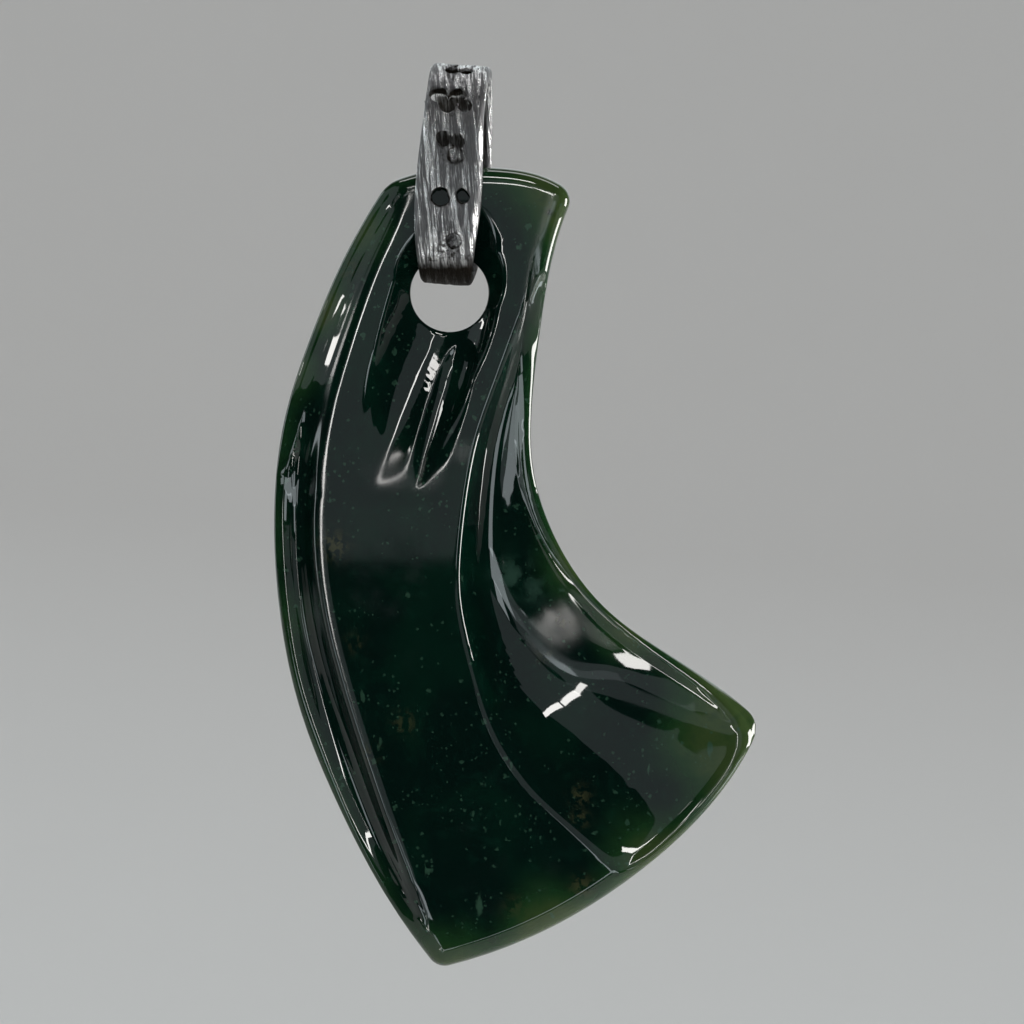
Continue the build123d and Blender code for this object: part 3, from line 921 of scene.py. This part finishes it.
# %% Scratches group
scratches, given, result = new_group(
    "scratches", "ShaderNodeTree", {"Vector": "Vector", "Lines": "Float", "Stretch": "Float",
                                    "Depth Bias": "Float"}, {"Height": "Float", "Deep": "Float"})
squeeze = add_node(scratches, "ShaderNodeCombineXYZ", {"X": 1.0, "Y": 1.0, "Z": given["Stretch"]})
place = vectors(scratches, "MULTIPLY", given["Vector"], squeeze.outputs[0])
lines = noise(scratches, place, given["Lines"], detail=5.0, roughness=0.62)
broad = noise(scratches, place, maths(scratches, "MULTIPLY", given["Lines"], 0.27), detail=2.0)
height = maths(scratches, "ADD", lines, maths(scratches, "MULTIPLY", broad, 0.8))
join(scratches, height, result.inputs["Height"])
# Deep marks the low parts of the lines; the silver paints them grey as painted shade.
low = maths(scratches, "ADD", given["Depth Bias"], 0.32)
join(scratches, ramp(scratches, height, maths(scratches, "ADD", low, 0.14), low), result.inputs["Deep"])
print("scratches group", len(scratches.nodes), "nodes")

# %% [markdown]
# ## Nephrite
#
# The colour goes from blue-black through bottle green to a yellow green where the stone is
# thin; that yellow green is painted glow of light through the stone. Clouds break it up, and
# specks of paler mineral float in it: round ones high up, and tall ragged ones near the foot,
# where the stone's grain runs upright.

# %% Nephrite clouds
black_green, pit_green = (0.0009, 0.0085, 0.0062), (0.0006, 0.0030, 0.0022)
deep_green = (0.0013, 0.0145, 0.0085)
leaf_green, straw_green, mottle_green = (0.012, 0.046, 0.014), (0.042, 0.072, 0.022), (0.004, 0.030, 0.018)
haze_green, speck_green, rust_olive = (0.030, 0.072, 0.052), (0.036, 0.088, 0.056), (0.060, 0.062, 0.028)
nephrite, tree, shader, where = new_material("nephrite")
clouds = noise(tree, where, 190, detail=5, distortion=0.6)
fine_clouds = noise(tree, where, 900, detail=4)
uneven = maths(tree, "MULTIPLY_ADD", fine_clouds, 0.55, maths(tree, "ADD", clouds, 0.27))
# Where the pale mask is high, leaf and straw green are mixed in: painted glow of light through thin stone.
cloudy = maths(tree, "MULTIPLY", attribute(tree, "pale"), uneven)
body = mixed(tree, ramp(tree, clouds, 0.40, 0.66), black_green, deep_green)
body = mixed(tree, ramp(tree, cloudy, 0.12, 0.75), body, leaf_green)
body = mixed(tree, ramp(tree, cloudy, 0.58, 1.10), body, straw_green)
body = mixed(tree, maths(tree, "MULTIPLY", ramp(tree, fine_clouds, 0.54, 0.72), 0.30), body, mottle_green)
hazy = maths(tree, "MULTIPLY", attribute(tree, "haze"), ramp(tree, fine_clouds, 0.36, 0.60))
body = mixed(tree, hazy, body, haze_green)
body = mixed(tree, attribute(tree, "dark"), body, pit_green)
print("nephrite clouds", len(tree.nodes), "nodes")


# %% Nephrite specks
def use_group(group, *values):
    """The outputs of a node group in the material in hand; values for its inputs in order."""
    return add_node(tree, "ShaderNodeGroup", dict(enumerate(values)), node_tree=group).outputs


upright = add_node(tree, "ShaderNodeMapping", {"Vector": where, "Scale": (1, 1, 0.42)}).outputs["Vector"]
fine_specks, round_specks, tall_specks = [
    maths(tree, "MULTIPLY", use_group(specks, *values)["Mask"], strength) for strength, *values in (
        (0.60, where, 2700.0, 0.50, 0.32, 0.75, 260.0), (0.62, where, 1200.0, 0.40, 0.26, 0.95, 230.0),
        (0.8, upright, 800.0, 0.40, 0.24, 0.55, 210.0))]
height = add_node(tree, "ShaderNodeSeparateXYZ", {0: where}).outputs["Z"]
tall_specks = maths(tree, "MULTIPLY", ramp(tree, height, -0.040, -0.050), tall_specks)
speck_share = maths(tree, "MAXIMUM", maths(tree, "MAXIMUM", fine_specks, round_specks), tall_specks)
body = mixed(tree, speck_share, body, speck_green)
rust_grain = ramp(tree, noise(tree, where, 1900, detail=5, roughness=0.6), 0.46, 0.56)
rusty = maths(tree, "MULTIPLY", attribute(tree, "rust"), rust_grain)
body = mixed(tree, maths(tree, "MULTIPLY", rusty, 0.75), body, rust_olive)
print("nephrite with specks", len(tree.nodes), "nodes")


# %% Nephrite polish
def dress(colour, roughness, relief, strength, distance):
    """Give the shader in hand its colour and roughness, and a bump of a height in metres."""
    bump = add_node(tree, "ShaderNodeBump", {"Strength": strength, "Distance": distance, "Height": relief})
    given = {"Base Color": colour, "Roughness": roughness, "Normal": bump.outputs["Normal"]}
    for name, source in given.items():
        join(tree, source, shader.inputs[name])


shader.inputs["IOR"].default_value = 1.61
shader.inputs["Specular IOR Level"].default_value = 0.5
wear = ramp(tree, noise(tree, where, 420, detail=5, roughness=0.6), 0.45, 0.8)
wear = maths(tree, "MULTIPLY_ADD", wear, 0.04, 0.02)
rough = maths(tree, "MULTIPLY_ADD", attribute(tree, "dull"), 0.17, wear)
wave = add_node(tree, "ShaderNodeTexWave", {"Vector": where, "Scale": 900.0, "Distortion": 3.0,
                                            "Detail": 1.0, "Detail Scale": 0.4}, bands_direction="DIAGONAL")
ripples = maths(tree, "MULTIPLY", wave.outputs["Fac"], attribute(tree, "ripple"))
hairlines = use_group(scratches, where, 2600.0, 0.12, 0.5)["Height"]
relief = maths(tree, "ADD", maths(tree, "MULTIPLY", ripples, 0.9), maths(tree, "MULTIPLY", hairlines, 0.03))
dress(body, rough, relief, 0.12, 0.00006)
stone.data.materials.append(nephrite)
print("nephrite", len(tree.nodes), "nodes")

# %% [markdown]
# ## Silver
#
# The band was filed along its length and left so. Bright lines and dark furrows lie side by
# side; the grey of the furrows is painted shade. The inside of the loop and the walls of the
# drillings are made dark and brown, as tarnish and painted shade together, and the foot of the
# bail, where it sits in the hole, is given painted shade. A ray sent out from each point tells
# them apart: inside the loop it soon meets the band again.

# %% Tarnish and painted shade mask
bail_shape = bmesh.new()
bail_shape.from_mesh(bail.data)
bail_tree = BVHTree.FromBMesh(bail_shape)
bail_shape.free()
loop_span, hole_span = 9.5, 2.2
seen_again = np.zeros(len(bail.data.vertices))
for number, vertex in enumerate(bail.data.vertices):
    hit = bail_tree.ray_cast(vertex.co + vertex.normal * 0.02 * mm, vertex.normal, loop_span * mm)
    if hit[0] is not None:
        seen_again[number] = 1.0 if hit[3] < hole_span * mm else 0.7
band_places = np.array([vertex.co for vertex in bail.data.vertices]) / mm
band_edges = np.array([edge.vertices[:] for edge in bail.data.edges])
beside = np.vstack([band_edges, band_edges[:, ::-1]])
touches = np.bincount(beside[:, 0], minlength=len(band_places))


def mean_beside(values):
    """The mean value of each point's neighbours on the band."""
    return np.bincount(beside[:, 0], values[beside[:, 1]]) / touches


# Painted shade: the bail's foot, down in the hole behind the stone, is darkened from this height down.
foot_z, shade_top_z = from_pixel(450, 276)[1], from_pixel(450, 256)[1]
foot_shade = np.clip((shade_top_z - band_places[:, 2]) / (shade_top_z - foot_z), 0, 1)
# The ray mask stands for tarnish in the hollows and painted shade inside the loop and the drillings.
hollow_tarnish_and_shade, drilling = seen_again.copy(), np.where(seen_again == 1.0, 1.0, 0.0)
for _ in range(3):
    hollow_tarnish_and_shade = 0.4 * hollow_tarnish_and_shade + 0.6 * mean_beside(hollow_tarnish_and_shade)
    drilling = np.maximum(drilling, mean_beside(drilling))
keep_mask(bail.data, "tarnish_and_shade", np.clip(hollow_tarnish_and_shade + 1.2 * foot_shade, 0, 1))
keep_mask(bail.data, "drilling", np.clip(1.5 * drilling, 0, 1))
print("tarnished share", round(float(hollow_tarnish_and_shade.mean()), 3))

# %% Silver
bright, furrow_shade_grey, tarnish_and_shade_brown = (1.0, 1.0, 1.0), (0.19, 0.19, 0.195), (0.030, 0.025, 0.020)
silver, tree, shader, where = new_material("filed_silver")
band_way = add_node(tree, "ShaderNodeMapping", {"Vector": where, "Rotation": (0, math.radians(5), 0),
                                                "Scale": (1, 0.1, 1)}).outputs["Vector"]
fine = use_group(scratches, band_way, 8500.0, 0.06, 0.52)
coarse = use_group(scratches, band_way, 3000.0, 0.13, 0.46)
# Painted shade: where the file scratches are deep, the colour goes from white to grey, for the shade and
# dark reflections in the furrows.
deep = maths(tree, "MAXIMUM", fine["Deep"], coarse["Deep"])
metal = mixed(tree, deep, bright, furrow_shade_grey)
# The mask of tarnish and painted shade turns the metal brown and rougher; the solder pits are real marks.
blotch = maths(tree, "ADD", noise(tree, where, 900, detail=4), 0.75)
dull = maths(tree, "MULTIPLY", attribute(tree, "tarnish_and_shade"), blotch, clamp=True)
pits = ramp(tree, noise(tree, where, 3200, detail=4), 0.47, 0.58)
dull = maths(tree, "MAXIMUM", dull, maths(tree, "MULTIPLY", attribute(tree, "solder"), pits))
metal = mixed(tree, dull, metal, tarnish_and_shade_brown)
shader.inputs["Metallic"].default_value = 1.0
rough = maths(tree, "MULTIPLY_ADD", deep, 0.24, 0.16)
rough = maths(tree, "MULTIPLY_ADD", dull, 0.3, rough)
relief = maths(tree, "MULTIPLY_ADD", coarse["Height"], 0.8, fine["Height"])
dress(metal, rough, relief, 1.0, 0.00020)
print("filed silver", len(tree.nodes), "nodes")

# %% [markdown]
# A Geometry Nodes tree then works the band itself. It presses furrows along it and frays the
# metal round the drillings.

# %% Band tree
band_tree, given, result = new_group(
    "worked_band", "GeometryNodeTree",
    {"Geometry": "Geometry", "Furrow Depth": "Float", "Furrows": "Float", "Fray": "Float",
     "Fray Scale": "Float", "Grain Radius": "Float", "Grains": "Float", "Seed": "Int",
     "Material": "Material"}, {"Geometry": "Geometry"})


def moved(mesh, offset):
    """The mesh with each point moved by an offset."""
    return add_node(band_tree, "GeometryNodeSetPosition", {"Geometry": mesh, "Offset": offset}).outputs[0]


def band_mask(name):
    """A painted mask's value in the band's tree."""
    node = add_node(band_tree, "GeometryNodeInputNamedAttribute", {"Name": name}, data_type="FLOAT")
    return node.outputs["Attribute"]


place = add_node(band_tree, "GeometryNodeInputPosition").outputs[0]
outwards = add_node(band_tree, "GeometryNodeInputNormal").outputs[0]
along = vectors(band_tree, "MULTIPLY", place, (1, 0.07, 0.07))
lines = noise(band_tree, along, given["Furrows"], detail=2.0)
deep = maths(band_tree, "MULTIPLY", maths(band_tree, "SUBTRACT", lines, 0.5), given["Furrow Depth"])
furrowed = moved(given["Geometry"], vectors(band_tree, "SCALE", outwards, deep, "Scale"))
ragged = noise(band_tree, place, given["Fray Scale"], detail=2.0, output="Color")
ragged = vectors(band_tree, "SUBTRACT", ragged, (0.5, 0.5, 0.5))
fray_size = maths(band_tree, "MULTIPLY", band_mask("drilling"), given["Fray"])
frayed = moved(furrowed, vectors(band_tree, "SCALE", ragged, fray_size, "Scale"))
print("band tree", len(band_tree.nodes), "nodes")

# %% [markdown]
# Small grains of solder are scattered over the metal and joined to it. The tree ends by
# making them real faces and giving everything the silver.

# %% Grains
density = maths(band_tree, "MULTIPLY", band_mask("solder"), given["Grains"])
points = add_node(band_tree, "GeometryNodeDistributePointsOnFaces", {
    "Mesh": given["Geometry"], "Density": density, "Seed": given["Seed"]})
grain = add_node(band_tree, "GeometryNodeMeshIcoSphere", {
    "Radius": given["Grain Radius"], "Subdivisions": 2})
any_size = add_node(band_tree, "FunctionNodeRandomValue", {2: 0.4, 3: 1.0, "Seed": given["Seed"]},
                    data_type="FLOAT")
grains = add_node(band_tree, "GeometryNodeInstanceOnPoints", {
    "Points": points.outputs["Points"], "Instance": grain.outputs["Mesh"], "Scale": any_size.outputs[1]})
real = add_node(band_tree, "GeometryNodeRealizeInstances", {0: grains.outputs[0]})
both = add_node(band_tree, "GeometryNodeJoinGeometry", {0: frayed})
join(band_tree, real.outputs[0], both.inputs[0])
smooth = add_node(band_tree, "GeometryNodeSetShadeSmooth", {"Geometry": both.outputs[0]})
dressed = add_node(band_tree, "GeometryNodeSetMaterial", {"Geometry": smooth.outputs[0],
                                                          "Material": given["Material"]})
join(band_tree, dressed.outputs[0], result.inputs[0])
print("band tree", len(band_tree.nodes), "nodes")

# %% Work the band
solder_zones = [((448, 250), 15, 1.0), ((431, 262), 9, 0.9), ((470, 262), 9, 0.8), ((455, 106), 16, 0.6),
                ((450, 152), 13, 0.6), ((458, 70), 16, 0.8)]
front_of_band = band_places[:, 1] < np.median(band_places[:, 1])
keep_mask(bail.data, "solder", painted(band_places, solder_zones) * front_of_band)
bail.data.materials.append(silver)
worked = bail.modifiers.new("worked", "NODES")
worked.node_group = band_tree
sizes = {"Furrow Depth": 0.16 * mm, "Furrows": 1500.0, "Fray": 0.75 * mm, "Fray Scale": 1300.0,
         "Grain Radius": 0.11 * mm, "Grains": 1.6e6, "Seed": 7, "Material": silver}
for item in band_tree.interface.items_tree:
    if item.in_out == "INPUT" and item.name in sizes:
        worked[item.identifier] = sizes[item.name]
apply_modifiers(bail)
print("worked bail", len(bail.data.polygons), "faces of", bail.data.materials[-1].name)

# %% Paper
paper, tree, shader, where = new_material("pale_paper")
shader.inputs["Roughness"].default_value = 0.85
tooth = noise(tree, where, 60)
join(tree, mixed(tree, tooth, (0.725, 0.725, 0.715), (0.735, 0.735, 0.725)), shader.inputs["Base Color"])
sweep.data.materials.append(paper)
print("paper on", sweep.name)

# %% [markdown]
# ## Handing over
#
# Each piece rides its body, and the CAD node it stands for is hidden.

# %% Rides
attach(stone, "drop")
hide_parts("jade_drop")
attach(bail, "bail")
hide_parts("bail")
